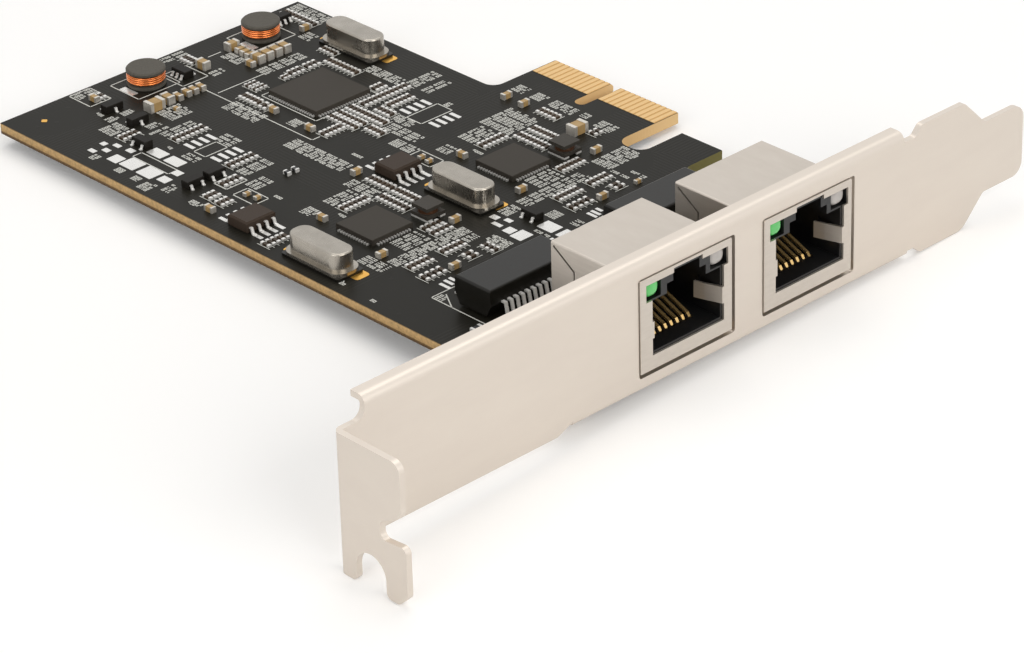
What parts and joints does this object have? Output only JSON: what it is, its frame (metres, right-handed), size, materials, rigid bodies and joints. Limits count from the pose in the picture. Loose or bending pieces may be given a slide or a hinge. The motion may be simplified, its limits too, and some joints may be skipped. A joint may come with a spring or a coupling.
{
  "type": "network interface card",
  "caption": "Low-profile expansion card with network jacks, flat chips and magnetics on a black board, and a folded slot bracket with tab and tongue.",
  "frame": {"origin": "middle of the key notch at the finger edge, halfway through the board", "axes": "+X out through the bracket, +Y into the slot, +Z out of the component side"},
  "size_m": [0.1236, 0.12, 0.0218],
  "materials": {
    "black_board": "satin solder mask on glass-epoxy",
    "gold": "gold plated",
    "steel_screws": "nickel plated",
    "nickel_sheet": "satin nickel plated",
    "tinned_sheet": "bright tinned",
    "dark_plastic": "matt moulded",
    "green_plastic": "translucent green",
    "clear_plastic": "milky translucent",
    "black_plastic": "matt moulded",
    "solder": "bright solder",
    "steel_can": "drawn, bright",
    "ferrite": "matt",
    "copper": "enamelled copper",
    "tan_ceramic": "matt",
    "dark_ceramic": "glazed"
  },
  "bodies": {
    "root": {"bracket": "nickel_sheet", "bracket_screws": "steel_screws", "bridge_chip": "black_plastic", "bridge_chip_lands": "solder", "capacitor_ends": "solder", "capacitors": "tan_ceramic", "choke_core_1": "ferrite", "choke_core_2": "ferrite", "choke_terminals_1": "solder", "choke_terminals_2": "solder", "choke_winding_1": "copper", "choke_winding_2": "copper", "circuit_board": "black_board", "crystal_can_1": "steel_can", "crystal_can_2": "steel_can", "crystal_can_3": "steel_can", "crystal_seat_1": "black_plastic", "crystal_seat_2": "black_plastic", "crystal_seat_3": "black_plastic", "edge_contacts": "gold", "inductor_core_1": "ferrite", "inductor_core_2": "ferrite", "inductor_winding_1": "copper", "inductor_winding_2": "copper", "jack_housing_1": "dark_plastic", "jack_housing_2": "dark_plastic", "jack_light_clear_1": "clear_plastic", "jack_light_clear_2": "clear_plastic", "jack_light_green_1": "green_plastic", "jack_light_green_2": "green_plastic", "jack_shield_1": "tinned_sheet", "jack_shield_2": "tinned_sheet", "jack_wires_1": "gold", "jack_wires_2": "gold", "lan_chip_1": "black_plastic", "lan_chip_1_lands": "solder", "lan_chip_2": "black_plastic", "lan_chip_2_lands": "solder", "magnetics_body_1": "black_plastic", "magnetics_body_2": "black_plastic", "magnetics_leads_1": "solder", "magnetics_leads_2": "solder", "memory_chip_1": "black_plastic", "memory_chip_2": "black_plastic", "memory_leads_1": "solder", "memory_leads_2": "solder", "regulator_leads": "solder", "regulators": "black_plastic", "resistor_ends": "solder", "resistors": "dark_ceramic", "transistor_leads": "solder", "transistors": "black_plastic"}
  },
  "joints": []
}
